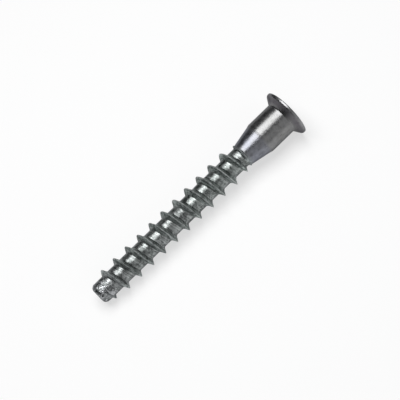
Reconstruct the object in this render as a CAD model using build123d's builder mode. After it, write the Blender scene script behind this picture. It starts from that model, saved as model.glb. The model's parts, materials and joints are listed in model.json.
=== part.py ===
"""One-piece furniture connecting screw (confirmat type) for chipboard, lying on its side.

It is modelled upright about the Z axis, with the blunt tail at Z = 0 and the face of the
head on top: a turned blank, the rolled thread round it, and the punched hexagon socket.
It is then laid down along X, where it rests on the rim of the head and on the thread.
"""

import os
from math import atan, ceil, degrees, pi, radians, sin, tan

from build123d import *

# Overall sizes, in millimetres and degrees
length = 50.0
head_diameter = 10.0
neck_diameter = 6.8
core_diameter = 4.2

# Head: a short cylindrical rim above a conical seat
rim_height = 0.57
seat_half_angle = 57.0
seat_root_chamfer = 0.25
seat_edge_chamfer = 0.25
face_edge_chamfer = 0.12

# Hexagon socket, and the round hole that the punch leaves below it
socket_across_flats = 4.1
socket_depth = 3.0
socket_corner_fillet = 0.25
socket_mouth_chamfer = 0.3
pilot_diameter = 3.2
pilot_depth = 1.7

# Plain neck, the sloping step at its lower end, and the cone below
neck_length = 5.8
step_height = 0.35
step_depth = 0.22
cone_length = 3.8
cone_tip_diameter = 4.95

# Collar at the foot of the cone, where the thread runs out
collar_diameter = 5.2
collar_width = 0.5

# Blunt tail: a bevelled edge and a short taper
tail_bevel_height = 0.2
tail_bevel_depth = 0.4
tail_taper_height = 0.7
tail_taper_depth = 0.3

# Right-handed thread: a thin, sharp ridge with a flared foot, a little lower at the tail
pitch = 3.13
thread_diameter = 6.6
thread_tail_diameter = 6.2
foot_height = 0.4
blade_foot_width = 0.9
ridge_foot_width = 1.6
root_embed = 0.2
thread_start = 1.1
run_in_length = 2.2
run_out_length = 2.9
sections_per_turn = 20

# Height above the tail at which the thread's crest meets the floor
floor_crest_height = 5.8

# Radii
head_radius = head_diameter / 2
neck_radius = neck_diameter / 2
core_radius = core_diameter / 2
thread_radius = thread_diameter / 2
thread_tail_radius = thread_tail_diameter / 2
collar_radius = collar_diameter / 2
cone_tip_radius = cone_tip_diameter / 2
pilot_radius = pilot_diameter / 2
taper_radius = core_radius - tail_taper_depth
tail_flat_radius = taper_radius - tail_bevel_depth

# Heights of the turned shoulders, from the head down
seat_top = length - rim_height
seat_bottom = seat_top - (head_radius - neck_radius) / tan(radians(seat_half_angle))
neck_bottom = seat_bottom - neck_length
cone_top = neck_bottom - step_height
cone_bottom = cone_top - cone_length
collar_height = cone_bottom - collar_width

# Thread: where it ends, how far its ends sink, and the section of the ridge
thread_end = collar_height
thread_length = thread_end - thread_start
sunk_radius = core_radius - root_embed
ridge_height = thread_radius - core_radius
blade_height = ridge_height - foot_height
section_depth = ridge_height + root_embed
half_blade = blade_foot_width / 2
foot_flare = (ridge_foot_width - blade_foot_width) / 2 / foot_height
half_base = half_blade + foot_flare * (section_depth - blade_height)


def crest_radius(height):
    """Radius of the thread's crest: it rises out of the core, tapers up, and sinks in at the collar."""
    rise = min(1, (height - thread_start) / run_in_length)
    fall = max(0, min(1, (thread_end - height) / run_out_length))
    taper = (height - thread_start) / thread_length
    full_radius = thread_tail_radius + (thread_radius - thread_tail_radius) * taper
    return sunk_radius + (full_radius - sunk_radius) * sin(pi / 2 * rise) * sin(pi / 2 * fall)


def ridge_section(height):
    """Section of the ridge in the axial plane where the helix is at this height."""
    angle = 360 * (height - floor_crest_height) / pitch
    outward = Vector(1, 0, 0).rotate(Axis.Z, angle)
    sideways = Vector(0, -1, 0).rotate(Axis.Z, angle)
    crest = crest_radius(height)
    blade_foot = crest - blade_height
    base = crest - section_depth
    with BuildSketch(Plane(origin=(0, 0, height), x_dir=outward, z_dir=sideways)) as section:
        with BuildLine():
            Polyline(
                (crest, 0),
                (blade_foot, half_blade),
                (base, half_base),
                (base, -half_base),
                (blade_foot, -half_blade),
                close=True,
            )
        make_face()
    return section.sketch.face()


# Ridge of the thread, lofted a turn at a time
section_step = pitch / sections_per_turn
section_count = ceil(thread_length / section_step)
sections = [ridge_section(thread_start + index * section_step) for index in range(section_count + 1)]
with BuildPart() as ridge:
    for first in range(0, section_count, sections_per_turn):
        loft(sections=sections[first : first + sections_per_turn + 1])

with BuildPart() as upright:
    # Turned blank
    with BuildSketch(Plane.XZ) as blank:
        with BuildLine():
            Polyline(
                (0, 0),
                (tail_flat_radius, 0),
                (taper_radius, tail_bevel_height),
                (core_radius, tail_taper_height),
                (core_radius, collar_height - collar_width / 2),
                (collar_radius, collar_height),
                (cone_tip_radius, cone_bottom),
                (neck_radius - step_depth, cone_top),
                (neck_radius, neck_bottom),
                (neck_radius, seat_bottom),
                (head_radius, seat_top),
                (head_radius, length - face_edge_chamfer),
                (head_radius - face_edge_chamfer, length),
                (0, length),
                close=True,
            )
        make_face()
        for corner, size in (
            ((neck_radius, seat_bottom), seat_root_chamfer),
            ((head_radius, seat_top), seat_edge_chamfer),
        ):
            chamfer(blank.vertices().sort_by_distance(corner)[0], length=size)
    revolve(axis=Axis.Z)

    # Rolled thread
    add(ridge.part)

    # Round hole under the socket
    socket_bottom = length - socket_depth
    with Locations((0, 0, socket_bottom)):
        Cylinder(
            pilot_radius,
            pilot_depth,
            align=(Align.CENTER, Align.CENTER, Align.MAX),
            mode=Mode.SUBTRACT,
        )

    # Hexagon socket with rounded corners and a chamfered mouth
    with BuildSketch(Plane.XY.offset(length)) as hexagon:
        RegularPolygon(socket_across_flats / 2, side_count=6, major_radius=False)
        fillet(hexagon.vertices(), radius=socket_corner_fillet)
    extrude(amount=-socket_depth, mode=Mode.SUBTRACT)
    face_edges = upright.faces().sort_by(Axis.Z)[-1].inner_wires()[0].edges()
    chamfer(face_edges, length=socket_mouth_chamfer)

# Lay it down along X, on the rim of the head and the crest of the thread, centred over the origin
rest_span = length - rim_height / 2 - floor_crest_height
rest_tilt = degrees(atan((head_radius - crest_radius(floor_crest_height)) / rest_span))
laid_down = upright.part.rotate(Axis.Y, 90 - rest_tilt)
box = laid_down.bounding_box()
with BuildPart() as screw:
    with Locations((-box.center().X, -box.center().Y, -box.min.Z)):
        add(laid_down)

screw.part.label = "screw"
os.makedirs("parts", exist_ok=True)
export_step(screw.part, "parts/screw.step")
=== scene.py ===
"""Zinc-plated confirmat screw lying on a pale floor, seen from above its tail."""
import json
import math

import bpy
import numpy as np
from mathutils import Matrix, Vector, noise


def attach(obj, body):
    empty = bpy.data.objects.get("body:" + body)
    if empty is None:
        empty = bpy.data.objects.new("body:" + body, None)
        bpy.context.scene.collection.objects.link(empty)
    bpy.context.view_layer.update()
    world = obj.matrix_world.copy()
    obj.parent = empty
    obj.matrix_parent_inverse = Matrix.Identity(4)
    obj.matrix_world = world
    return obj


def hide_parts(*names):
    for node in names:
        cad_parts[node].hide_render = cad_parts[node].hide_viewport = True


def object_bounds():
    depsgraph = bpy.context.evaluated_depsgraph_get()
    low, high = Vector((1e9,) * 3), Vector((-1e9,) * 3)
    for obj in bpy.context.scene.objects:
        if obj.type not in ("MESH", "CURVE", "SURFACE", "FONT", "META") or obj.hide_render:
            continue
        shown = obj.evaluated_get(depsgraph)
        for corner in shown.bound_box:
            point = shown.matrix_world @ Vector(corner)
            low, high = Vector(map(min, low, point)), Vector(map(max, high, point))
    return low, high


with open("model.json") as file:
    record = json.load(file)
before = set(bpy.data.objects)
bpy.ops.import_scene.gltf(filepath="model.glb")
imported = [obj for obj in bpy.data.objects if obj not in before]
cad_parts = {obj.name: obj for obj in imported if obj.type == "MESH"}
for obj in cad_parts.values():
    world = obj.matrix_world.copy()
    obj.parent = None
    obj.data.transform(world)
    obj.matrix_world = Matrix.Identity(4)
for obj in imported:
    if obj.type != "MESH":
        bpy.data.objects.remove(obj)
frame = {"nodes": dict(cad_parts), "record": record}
cad_low, cad_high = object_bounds()
record = frame["record"]

# ---------------------------------------------------------------- sizes of the screw, in mm
# Turned blank: length, radii, and heights above the tail
LENGTH = 50.0
HEAD, NECK, CORE = 5.0, 3.4, 2.1
SEAT_ANGLE = math.radians(57)
SEAT_TOP = LENGTH - 0.57
SEAT_LOW = SEAT_TOP - (HEAD - NECK) / math.tan(SEAT_ANGLE)
NECK_LOW = SEAT_LOW - 5.8
CONE_TOP = NECK_LOW - 0.35
CONE_LOW = CONE_TOP - 3.8
COLLAR = CONE_LOW - 0.5
CONE_LOW_RADIUS, CONE_TOP_RADIUS = 2.475, 3.225
SEAT_FILLET = 0.45

# Thread: crest radii, where it runs in and out, and the crest that touches the floor
PITCH = 3.13
THREAD_TOP, THREAD_TAIL = 3.3, 3.1
THREAD_START, THREAD_END = 1.1, COLLAR
RUN_IN, RUN_OUT = 2.2, 2.9
FLOOR_CREST = 5.8
SUNK = CORE - 0.2
FOOT_FILLET = 0.12
# Half widths of the ridge's section, and how far below the crest they are
RIDGE_WIDTHS = [0.0, 0.03, 0.065, 0.1, 0.45, 0.8, 1.15]
RIDGE_DEPTHS = [0.02, 0.032, 0.07, 0.135, 0.8, 1.2, 1.6]

# Hexagon socket with its wider mouth, and the round hole below it; depths from the face
SOCKET_FLATS, SOCKET_CORNER, SOCKET_DEPTH = 4.1, 0.25, 3.0
MOUTH_FLATS, MOUTH_CORNER = 4.7, 0.35
HOLE, HOLE_DEPTH = 1.6, 4.7

# Rings below and above the thread, as (radius, height) or (radius, height from a shoulder)
TAIL_RINGS = [
    (0.75, 0.0), (1.1, 0.0), (1.32, 0.0), (1.42, 0.02), (1.52, 0.065),
    (1.62, 0.115), (1.72, 0.17), (1.80, 0.23), (1.87, 0.33),
]
COLLAR_RINGS = [(2.41, 0.3), (2.45, 0.38), (CONE_LOW_RADIUS, 0.5)]
STEP_RINGS = [
    (3.203, -0.1), (3.228, 0.0), (3.252, 0.09), (3.28, 0.18), (3.31, 0.28),
    (3.34, 0.38), (3.366, 0.48), (3.386, 0.58), (3.396, 0.68), (3.4, 0.8),
]

# Blank under the thread: heights and radii, up to the far side of the collar
Z_LOW, Z_HIGH = 0.45, COLLAR + 0.25
BLANK_HEIGHTS = [
    0.2, 0.7, COLLAR - 0.25, COLLAR - 0.18, COLLAR - 0.04, COLLAR + 0.04, COLLAR + 0.2, Z_HIGH,
]
BLANK_RADII = [1.8, CORE, CORE, 2.22, 2.57, 2.59, 2.43, 2.40]

# Columns of the mesh round the axis, and its rows along the thread, as heights from the crest
COLUMNS = 192
OUTWARD = [0.03, 0.065, 0.1, 0.2, 0.32, 0.45, 0.58, 0.68, 0.76, 0.83, 0.9, 0.98, 1.12, 1.35]
OFFSETS = [-x for x in reversed(OUTWARD)] + [0.0] + OUTWARD

# Wear: least depth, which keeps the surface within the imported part's box, and the tear's end
SKIN = 0.003
TEAR_END = 4.6

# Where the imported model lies, in metres: the centre of the face, and the axis from tail to head
MM = 0.001
socket = next(m for m in record["mounts"] if m["name"] == "hex_socket")
face = Vector(socket["pos_m"])
axis = Vector(socket["axis"]).normalized()
tail = face - axis * (LENGTH * MM)
down = Vector((axis.z, 0, -axis.x))
side = axis.cross(down)

# ---------------------------------------------------------------- shape
angles = np.arange(COLUMNS) * 2 * np.pi / COLUMNS
verts, faces = [], []


def crest(z):
    """Radius of the thread's crest: it rises, tapers up a little, and sinks in at the collar."""
    rise = np.clip((z - THREAD_START) / RUN_IN, 0, 1)
    fall = np.clip((THREAD_END - z) / RUN_OUT, 0, 1)
    full = THREAD_TAIL + (THREAD_TOP - THREAD_TAIL) * (z - THREAD_START) / (THREAD_END - THREAD_START)
    return SUNK + (full - SUNK) * np.sin(np.pi / 2 * rise) * np.sin(np.pi / 2 * fall)


def smooth_max(a, b, blend):
    """The larger of two radii, with a small fillet where they meet."""
    gap = np.clip(1 - np.abs(a - b) / blend, 0, 1)
    return np.maximum(a, b) + gap * gap * blend * 0.25


def thread_radius(z, angle):
    """Radius of blank and thread together, at heights and angles."""
    turn = (z - FLOOR_CREST) / PITCH - angle / (2 * np.pi)
    ridge = np.zeros_like(turn)
    for nearest in (np.floor(turn), np.ceil(turn)):
        height = FLOOR_CREST + PITCH * (nearest + angle / (2 * np.pi))
        there = (height > THREAD_START - 0.01) & (height < THREAD_END + 0.01)
        one = crest(height) - np.interp(np.abs(z - height), RIDGE_WIDTHS, RIDGE_DEPTHS)
        ridge = np.maximum(ridge, np.where(there, one, 0))
    return smooth_max(np.interp(z, BLANK_HEIGHTS, BLANK_RADII), ridge, FOOT_FILLET)


def hexagon(flats, corner):
    """Radius of a hexagon with rounded corners, at every angle."""
    half = flats / 2
    a = (angles + np.pi / 6) % (np.pi / 3) - np.pi / 6
    corner_at = np.pi / 6 - np.abs(a)
    centre = (half - corner) / math.cos(math.pi / 6)
    reach = np.sqrt(np.maximum(corner**2 - (centre * np.sin(corner_at)) ** 2, 0))
    rounded = centre * np.cos(corner_at) + reach
    touch = math.pi / 6 - math.atan2((half - corner) * math.tan(math.pi / 6), half)
    return np.where(corner_at < touch, rounded, half / np.cos(a))


def arc(centre, radius, first, last, steps):
    """Points (radius, height) along a fillet, from angle to angle in radians."""
    turns = np.linspace(first, last, steps)
    return [(centre[0] + radius * math.cos(t), centre[1] + radius * math.sin(t)) for t in turns]


def add_ring(radii, height):
    """A ring of vertices, as (angle, radius, height); returns their numbers."""
    first = len(verts)
    verts.extend((a, float(r), float(height)) for a, r in zip(angles, np.broadcast_to(radii, angles.shape)))
    return list(range(first, first + COLUMNS))


def join(low, high):
    """Faces between two rings."""
    faces.extend((low[k], low[(k + 1) % COLUMNS], high[(k + 1) % COLUMNS], high[k]) for k in range(COLUMNS))


def stack(rings, last):
    """Rings joined one to the next, from a ring that is there; returns the last."""
    for radii, height in rings:
        ring = add_ring(radii, height)
        join(last, ring)
        last = ring
    return last


# Tail: flat end and bevels
verts.append((0.0, 0.0, 0.02))
first_ring = add_ring(0.35, 0.01)
faces.extend((0, first_ring[(k + 1) % COLUMNS], first_ring[k]) for k in range(COLUMNS))
low_ring = stack(TAIL_RINGS, first_ring)

# Thread: rows that follow the helix, cut off at the two ends, where rows that meet share a vertex
first_turn = math.floor((Z_LOW - FLOOR_CREST) / PITCH) - 1
last_turn = math.ceil((Z_HIGH - FLOOR_CREST) / PITCH)
rows = np.array([FLOOR_CREST + PITCH * t + o for t in range(first_turn, last_turn + 1) for o in OFFSETS])
heights = np.clip(rows[None, :] + PITCH * angles[:, None] / (2 * np.pi), Z_LOW, Z_HIGH)
radii = thread_radius(heights, angles[:, None])
number_at, grid = {}, np.zeros(heights.shape, int)
for k in range(COLUMNS):
    for m in range(len(rows)):
        key = (k, round(heights[k, m], 6))
        if key not in number_at:
            number_at[key] = len(verts)
            verts.append((angles[k], radii[k, m], heights[k, m]))
        grid[k, m] = number_at[key]
for k in range(COLUMNS):
    n = (k + 1) % COLUMNS
    shift = len(OFFSETS) if n == 0 else 0
    for m in range(len(rows) - 1):
        right, right_up = (min(x + shift, len(rows) - 1) for x in (m, m + 1))
        loop = list(dict.fromkeys((grid[k, m], grid[n, right], grid[n, right_up], grid[k, m + 1])))
        if len(loop) >= 3:
            faces.append(tuple(loop))
join(low_ring, [number_at[(k, round(Z_LOW, 6))] for k in range(COLUMNS)])
high_ring = [number_at[(k, round(Z_HIGH, 6))] for k in range(COLUMNS)]

# Cone, step and neck
rings = [(r, COLLAR + z) for r, z in COLLAR_RINGS] + [(2.49, CONE_LOW + 0.1)]
for z in np.linspace(CONE_LOW + 0.45, CONE_TOP - 0.25, 8):
    rings.append((np.interp(z, [CONE_LOW, CONE_TOP], [CONE_LOW_RADIUS, CONE_TOP_RADIUS]), z))
rings += [(r, CONE_TOP + z) for r, z in STEP_RINGS]
rings += [(NECK, z) for z in np.linspace(NECK_LOW + 0.6, SEAT_LOW - 0.8, 7)]

# Seat, with a fillet at its foot and one at its edge
tangent = SEAT_FILLET * math.tan(SEAT_ANGLE / 2)
foot_centre = (NECK + SEAT_FILLET, SEAT_LOW - tangent)
edge_centre = (HEAD - SEAT_FILLET, SEAT_TOP + tangent)
rings += arc(foot_centre, SEAT_FILLET, math.pi, math.pi - SEAT_ANGLE, 9)
rings += arc(edge_centre, SEAT_FILLET, -SEAT_ANGLE, 0, 9)

# From the rounded edge of the face inward and down: radii, and depths below the face
mouth, inner = hexagon(MOUTH_FLATS, MOUTH_CORNER), hexagon(SOCKET_FLATS, SOCKET_CORNER)
below_face = [(HEAD, 0.15), (4.99, 0.09), (4.955, 0.04), (4.90, 0.01), (4.84, 0)]
below_face += [(r, 0) for r in (4.78, 4.6, 4.0, 3.3, 2.9)]
below_face += [(mouth * 1.03, 0), (mouth, 0.012), (mouth * 0.98, 0.045)]
below_face += [(mouth * 0.5 + inner * 0.5, 0.15), (inner * 1.006, 0.28), (inner, 0.33)]
below_face += [(inner, depth) for depth in (0.45, 0.9, 1.5, 2.1, 2.7, 2.93)]
below_face += [(inner * 0.995, 2.99), (inner * 0.97, SOCKET_DEPTH)]
below_face += [(inner * 0.5 + HOLE * 0.5, SOCKET_DEPTH), (1.67, SOCKET_DEPTH), (1.62, 3.01)]
below_face += [(HOLE, depth) for depth in (3.05, 3.2, 3.9, 4.55)] + [(1.58, 4.65)]
below_face += [(r, HOLE_DEPTH) for r in (1.5, 1.3, 0.5)]
rings += [(r, LENGTH - depth) for r, depth in below_face]
last_ring = stack(rings, high_ring)
faces.extend((len(verts), last_ring[k], last_ring[(k + 1) % COLUMNS]) for k in range(COLUMNS))
verts.append((0.0, 0.0, LENGTH - HOLE_DEPTH))


def hollow(p, scale, land, shift=(0, 0, 0)):
    """Noise above a threshold: hollows, with level land between them."""
    return max(0.0, noise.noise(p * scale + Vector(shift)) - land)


def dent(p, r, z):
    """How far wear and rolling push a point in: most at the sheared tail, a little on the crests."""
    middle_of_tail = r < 1.2
    inside_socket = z > LENGTH - 4.8 and r < 3.0
    if middle_of_tail or inside_socket:
        return SKIN
    depth = SKIN
    torn = max(0.0, 1 - z / TEAR_END)
    depth += 0.12 * torn * hollow(p, 1.5, 0.02, (7, 3, 1))
    depth += 0.045 * torn * abs(noise.noise(p * 4.0))
    if z < THREAD_END:
        depth += 0.012 * hollow(p, 1.1, 0.0)
        near_crest = min(max(0.0, (r - 2.8) / 0.4), 1.0)
        depth += 0.07 * near_crest * hollow(p, 1.9, 0.15, (0, 9, 0))
    if z > LENGTH - 1:
        depth += 0.02 * hollow(p, 1.3, 0.15)
    return depth


places = []
for a, r, z in verts:
    radial = down * math.cos(a) + side * math.sin(a)
    r = max(r - dent(Vector((r * math.cos(a), r * math.sin(a), z)), r, z), 0.0)
    places.append(tuple(tail + axis * (z * MM) + radial * (r * MM)))

mesh = bpy.data.meshes.new("screw_surface")
mesh.from_pydata(places, [], faces)
mesh.validate()
mesh.shade_smooth()
# What the material reads of each vertex: height, radius, and height along the unrolled helix
drawn = {
    "height": [z for a, r, z in verts],
    "radius": [r for a, r, z in verts],
    "helix": [z - PITCH * a / (2 * math.pi) for a, r, z in verts],
}
for name, values in drawn.items():
    mesh.attributes.new(name, "FLOAT", "POINT").data.foreach_set("value", values)
screw = bpy.data.objects.new("screw_surface", mesh)
bpy.context.scene.collection.objects.link(screw)
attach(screw, "root")
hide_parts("screw")


# ---------------------------------------------------------------- tools for materials
def material(name):
    """An empty node material, and its tree."""
    made = bpy.data.materials.new(name)
    made.use_nodes = True
    made.node_tree.nodes.clear()
    return made, made.node_tree


def node(kind, **values):
    """A node in the current tree, with inputs or settings by name."""
    made = tree.nodes.new(kind)
    for key, value in values.items():
        if key in made.inputs:
            made.inputs[key].default_value = value
        else:
            setattr(made, key, value)
    return made


def plug(value, socket):
    """A number, a colour or another node's output, put on a socket."""
    if isinstance(value, bpy.types.NodeSocket):
        tree.links.new(value, socket)
    elif isinstance(value, tuple):
        socket.default_value = (*value, 1) if len(socket.default_value) == 4 else value
    else:
        socket.default_value = value


def calc(operation, a, b=0.0):
    made = node("ShaderNodeMath", operation=operation)
    for socket, value in zip(made.inputs, (a, b)):
        plug(value, socket)
    return made.outputs[0]


def times(a, b):
    return calc("MULTIPLY", a, b)


def ramp(value, *stops):
    """A value or colour that changes with another value, through stops."""
    made = node("ShaderNodeValToRGB")
    while len(made.color_ramp.elements) < len(stops):
        made.color_ramp.elements.new(0.5)
    for element, (position, colour) in zip(made.color_ramp.elements, stops):
        element.position = position
        element.color = (*colour, 1) if isinstance(colour, tuple) else (colour, colour, colour, 1)
    plug(value, made.inputs[0])
    return made.outputs[0]


def mix(factor, a, b, kind="MIX"):
    made = node("ShaderNodeMix", data_type="RGBA", blend_type=kind)
    for index, value in ((0, factor), (6, a), (7, b)):
        plug(value, made.inputs[index])
    return made.outputs[2]


def tint(colour, by):
    """A colour multiplied by another."""
    return mix(1.0, colour, by, "MULTIPLY")


def noise_on(vector, scale, detail, rough=0.55, distortion=0.0):
    made = node("ShaderNodeTexNoise", Scale=scale, Detail=detail, Roughness=rough, Distortion=distortion)
    plug(vector, made.inputs["Vector"])
    return made.outputs["Fac"]


def stretched(first, second, third):
    """A vector for textures, made from three values."""
    made = node("ShaderNodeCombineXYZ")
    for socket, value in zip(made.inputs, (first, second, third)):
        plug(value, socket)
    return made.outputs[0]


def attribute(name):
    return node("ShaderNodeAttribute", attribute_name=name).outputs["Fac"]


# ---------------------------------------------------------------- zinc-plated steel
steel, tree = material("zinc_plated_steel")
output = node("ShaderNodeOutputMaterial")
bsdf = node("ShaderNodeBsdfPrincipled", Metallic=1.0)
plug(bsdf.outputs[0], output.inputs[0])
here = node("ShaderNodeTexCoord").outputs["Object"]
height, helix, radius = attribute("height"), attribute("helix"), attribute("radius")
along_screw = calc("DIVIDE", height, LENGTH)
split = node("ShaderNodeSeparateXYZ")
plug(here, split.inputs[0])
x_here, y_here, z_here = split.outputs

# Plating: clouds of several millimetres, patches of about one, and fine grain (scales per metre)
clouds = noise_on(here, 260.0, 2.0, 0.5)
patches = noise_on(here, 1150.0, 4.0, 0.62)
grain = noise_on(here, 4600.0, 3.0, 0.6)
# Ragged blotches of the rolled and torn surfaces, and the tear's bare spots
ragged = noise_on(here, 850.0, 5.0, 0.68, 1.6)
spots = noise_on(here, 620.0, 5.0, 0.7, 2.2)
# Lines drawn along the thread by the rolling dies
rolled = noise_on(stretched(times(helix, 7.0), times(y_here, 260.0), times(z_here, 260.0)), 1.0, 2.0)
# Scratches along the tail, and fine turning rings on the neck
scratches = noise_on(stretched(times(x_here, 120.0), times(y_here, 2600.0), times(z_here, 2600.0)), 1.0, 3.0)
turned = noise_on(stretched(times(height, 9.0), 0.0, 0.0), 1.0, 2.0)

# Masks: thread and core, the plain rest, the torn tail, the ridge's flanks, which get painted light, and its
# crests, which get a painted highlight
threaded = ramp(along_screw, (0.0, 1.0), (0.755, 1.0), (0.768, 0.0))
plain = calc("SUBTRACT", 1.0, threaded)
torn = ramp(along_screw, (0.0, 1.0), (0.05, 0.75), (0.11, 0.0))
painted_light_flank = times(ramp(times(calc("SUBTRACT", radius, 2.15), 2.5), (0.0, 0.0), (0.8, 1.0)), threaded)
outermost = times(calc("SUBTRACT", radius, 2.85), 2.6)
uneven = times(calc("SUBTRACT", patches, 0.5), 1.6)
crest_highlight = times(ramp(calc("ADD", outermost, uneven), (0.55, 0.0), (1.0, 1.0)), threaded)
bare = times(torn, ramp(spots, (0.52, 0.0), (0.57, 1.0)))

# Film of the plating along the screw: greenish on the thread, bluish on the cone, neutral on the
# neck, violet on the seat and darkened there as painted shade under the head, paler on the rim as a
# painted highlight, and paler on the face
film = ramp(
    along_screw,
    (0.0, (0.160, 0.165, 0.164)),
    (0.75, (0.160, 0.168, 0.165)),
    (0.775, (0.150, 0.156, 0.178)),
    (0.84, (0.152, 0.156, 0.176)),
    (0.855, (0.156, 0.157, 0.155)),
    (0.970, (0.156, 0.156, 0.156)),
    # Seat: violet, darkened as painted shade under the head
    (0.976, (0.082, 0.077, 0.085)),
    (0.986, (0.082, 0.077, 0.085)),
    # Rim: paler, a painted highlight on the rim
    (0.991, (0.195, 0.195, 0.198)),
    (0.9965, (0.195, 0.195, 0.198)),
    (0.999, (0.29, 0.29, 0.295)),
)
dark_patch, pale_patch = tint(film, (0.89, 0.89, 0.89)), tint(film, (1.65, 1.65, 1.65))
tone = mix(ramp(patches, (0.3, 0.0), (0.7, 1.0)), dark_patch, pale_patch)
tone = mix(ramp(clouds, (0.35, 0.0), (0.65, 0.5)), tone, (0.22, 0.22, 0.225))
# Thread: blotches, then the lines of rolling
dark_blotch, pale_blotch = tint(tone, (0.40, 0.43, 0.42)), tint(tone, (1.55, 1.60, 1.58))
mottled = mix(ramp(ragged, (0.40, 0.0), (0.58, 1.0)), dark_blotch, pale_blotch)
tone = mix(times(threaded, 0.85), tone, mottled)
tone = mix(times(threaded, 0.9), tone, tint(tone, ramp(rolled, (0.38, 0.62), (0.6, 1.3))))
# Ridge: flanks painted paler, painted light that stands in for light they lack, and crests painted pale as a
# painted highlight. Tail: a little darker, with bare metal in the tear
tone = mix(painted_light_flank, tone, tint(tone, (1.45, 1.48, 1.47)))
# Pale crests: a painted highlight along the ridge's crests
tone = mix(times(crest_highlight, 0.7), tone, (0.58, 0.60, 0.59))
tone = mix(times(torn, 0.8), tone, tint(tone, (0.8, 0.8, 0.82)))
tone = mix(times(bare, 0.85), tone, (0.55, 0.56, 0.58))
plug(tone, bsdf.inputs["Base Color"])
# Dark edge tint: painted shade that darkens the metal's reflections towards its outline
plug((0.45, 0.45, 0.46), bsdf.inputs["Specular Tint"])

blotchy = times(threaded, ramp(ragged, (0.35, 0.0), (0.65, 0.06)))
rough = calc("ADD", ramp(patches, (0.3, 0.24), (0.7, 0.38)), blotchy)
rough = calc("SUBTRACT", rough, times(torn, 0.10))
rough = calc("ADD", rough, times(painted_light_flank, 0.28))
plug(rough, bsdf.inputs["Roughness"])

relief = times(patches, 0.55)
for pattern, strength in (
    (grain, 0.30),
    (times(rolled, threaded), 1.5),
    (times(ragged, threaded), 1.7),
    (times(ragged, torn), 5.0),
    (times(scratches, torn), 0.9),
    (times(turned, plain), 0.10),
):
    relief = calc("ADD", relief, times(pattern, strength))
bump = node("ShaderNodeBump", Strength=0.5, Distance=0.00005)
plug(relief, bump.inputs["Height"])
plug(bump.outputs[0], bsdf.inputs["Normal"])
screw.data.materials.append(steel)
for used in frame["nodes"]["screw"].material_slots:
    used.material = steel

# ---------------------------------------------------------------- pale floor
# Half the floor's side, and how far it lies below the screw, in metres
FLOOR_REACH, FLOOR_GAP = 1.5, 0.00002
# Share of plain white that the camera and the reflections see in the floor
WHITE_SHARE = 0.6
paper, tree = material("pale_floor")
output = node("ShaderNodeOutputMaterial")
bsdf = node("ShaderNodeBsdfPrincipled", Roughness=0.9)
plug((0.95, 0.95, 0.95), bsdf.inputs["Base Color"])
bsdf.inputs["Specular IOR Level"].default_value = 0.1
path = node("ShaderNodeLightPath").outputs
through = calc("MAXIMUM", path["Is Glossy Ray"], path["Is Transmission Ray"])
seen = calc("MAXIMUM", path["Is Camera Ray"], through)
white = node("ShaderNodeEmission", Strength=1.0)
both = node("ShaderNodeMixShader")
for source, socket in zip((times(seen, WHITE_SHARE), bsdf.outputs[0], white.outputs[0]), both.inputs):
    plug(source, socket)
plug(both.outputs[0], output.inputs[0])
corners = [(x * FLOOR_REACH, y * FLOOR_REACH, 0) for x, y in ((-1, -1), (1, -1), (1, 1), (-1, 1))]
floor_mesh = bpy.data.meshes.new("floor")
floor_mesh.from_pydata(corners, [], [(0, 1, 2, 3)])
floor = bpy.data.objects.new("floor", floor_mesh)
bpy.context.scene.collection.objects.link(floor)
floor_mesh.materials.append(paper)
floor.location.z = cad_low.z - FLOOR_GAP

# ---------------------------------------------------------------- light
middle = (tail + face) / 2


def softbox(name, direction, distance, width, depth, power):
    """A rectangular lamp that faces the middle of the screw: metres and watts."""
    lamp = bpy.data.lights.new(name, "AREA")
    lamp.shape = "RECTANGLE"
    lamp.size, lamp.size_y = width, depth
    lamp.energy = power
    made = bpy.data.objects.new(name, lamp)
    bpy.context.scene.collection.objects.link(made)
    direction = Vector(direction).normalized()
    made.location = middle + direction * distance
    made.rotation_euler = (-direction).to_track_quat("-Z", "Y").to_euler()


softbox("key", (0.0, 0.12, 1.0), distance=0.30, width=0.25, depth=0.24, power=0.95)
softbox("front_fill", (0.0, -1.0, 0.50), distance=0.5, width=0.8, depth=0.46, power=0.62)
world = bpy.data.worlds.new("studio")
bpy.context.scene.world = world
world.use_nodes = True
background = world.node_tree.nodes["Background"].inputs
background["Color"].default_value = (0.95, 0.97, 1.0, 1)
background["Strength"].default_value = 0.09

# ---------------------------------------------------------------- camera
ELEVATION = math.radians(60.0)
LEAN = math.radians(6.8)
ROLL = math.radians(44.22)
# Metres from the axis, along it from the tail, and across it; then the lens in millimetres
DISTANCE, FOOT, SHIFT = 0.2583, -0.00454, -0.0004
LENS = 124.2
toward = Vector((0, -1, 0)) * math.cos(ELEVATION) - down * math.sin(ELEVATION)
forward = axis * math.sin(LEAN) - toward.normalized() * math.cos(LEAN)
along = (axis - forward * axis.dot(forward)).normalized()
above = (-forward).cross(along)
right = along * math.cos(ROLL) - above * math.sin(ROLL)
upward = along * math.sin(ROLL) + above * math.cos(ROLL)
place = tail + axis * FOOT + toward.normalized() * DISTANCE + above * SHIFT
camera = bpy.data.objects.new("camera", bpy.data.cameras.new("camera"))
bpy.context.scene.collection.objects.link(camera)
camera.matrix_world = Matrix((right, upward, -forward)).transposed().to_4x4()
camera.location = place
camera.data.sensor_width = 36.0
camera.data.lens = LENS
camera.data.clip_start, camera.data.clip_end = 0.01, 10.0
bpy.context.scene.camera = camera
bpy.context.scene.view_settings.view_transform = "Standard"

bpy.context.view_layer.update()
